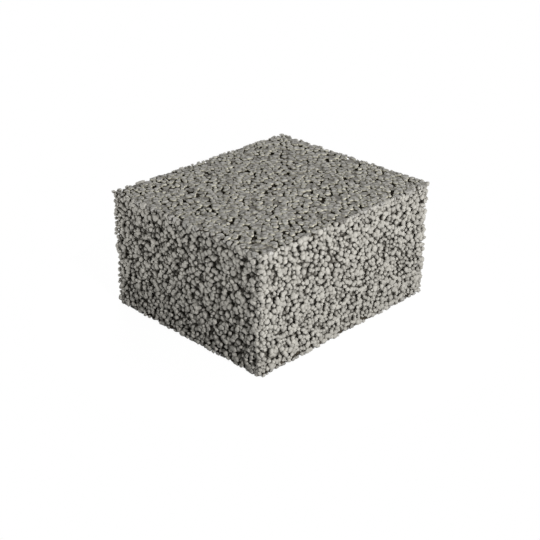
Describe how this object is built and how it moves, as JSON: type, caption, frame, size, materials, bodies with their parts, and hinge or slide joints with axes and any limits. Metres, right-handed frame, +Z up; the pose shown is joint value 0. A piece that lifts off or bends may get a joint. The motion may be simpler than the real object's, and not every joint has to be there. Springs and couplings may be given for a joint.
{
  "type": "solid lightweight aggregate concrete block",
  "caption": "Solid rectangular masonry block of round-grained lightweight aggregate concrete, with open-textured sides and pressed flat bed faces, laid in mortar in walls.",
  "frame": {"origin": "centre of the lower bed face, on the surface that the block lies on", "axes": "+X along the length, +Y across the width with the front stretcher face at -Y, +Z up from bed face to bed face"},
  "size_m": [0.29, 0.25, 0.15],
  "materials": {
    "concrete": "matte"
  },
  "bodies": {
    "root": {"block": "concrete"}
  },
  "joints": []
}
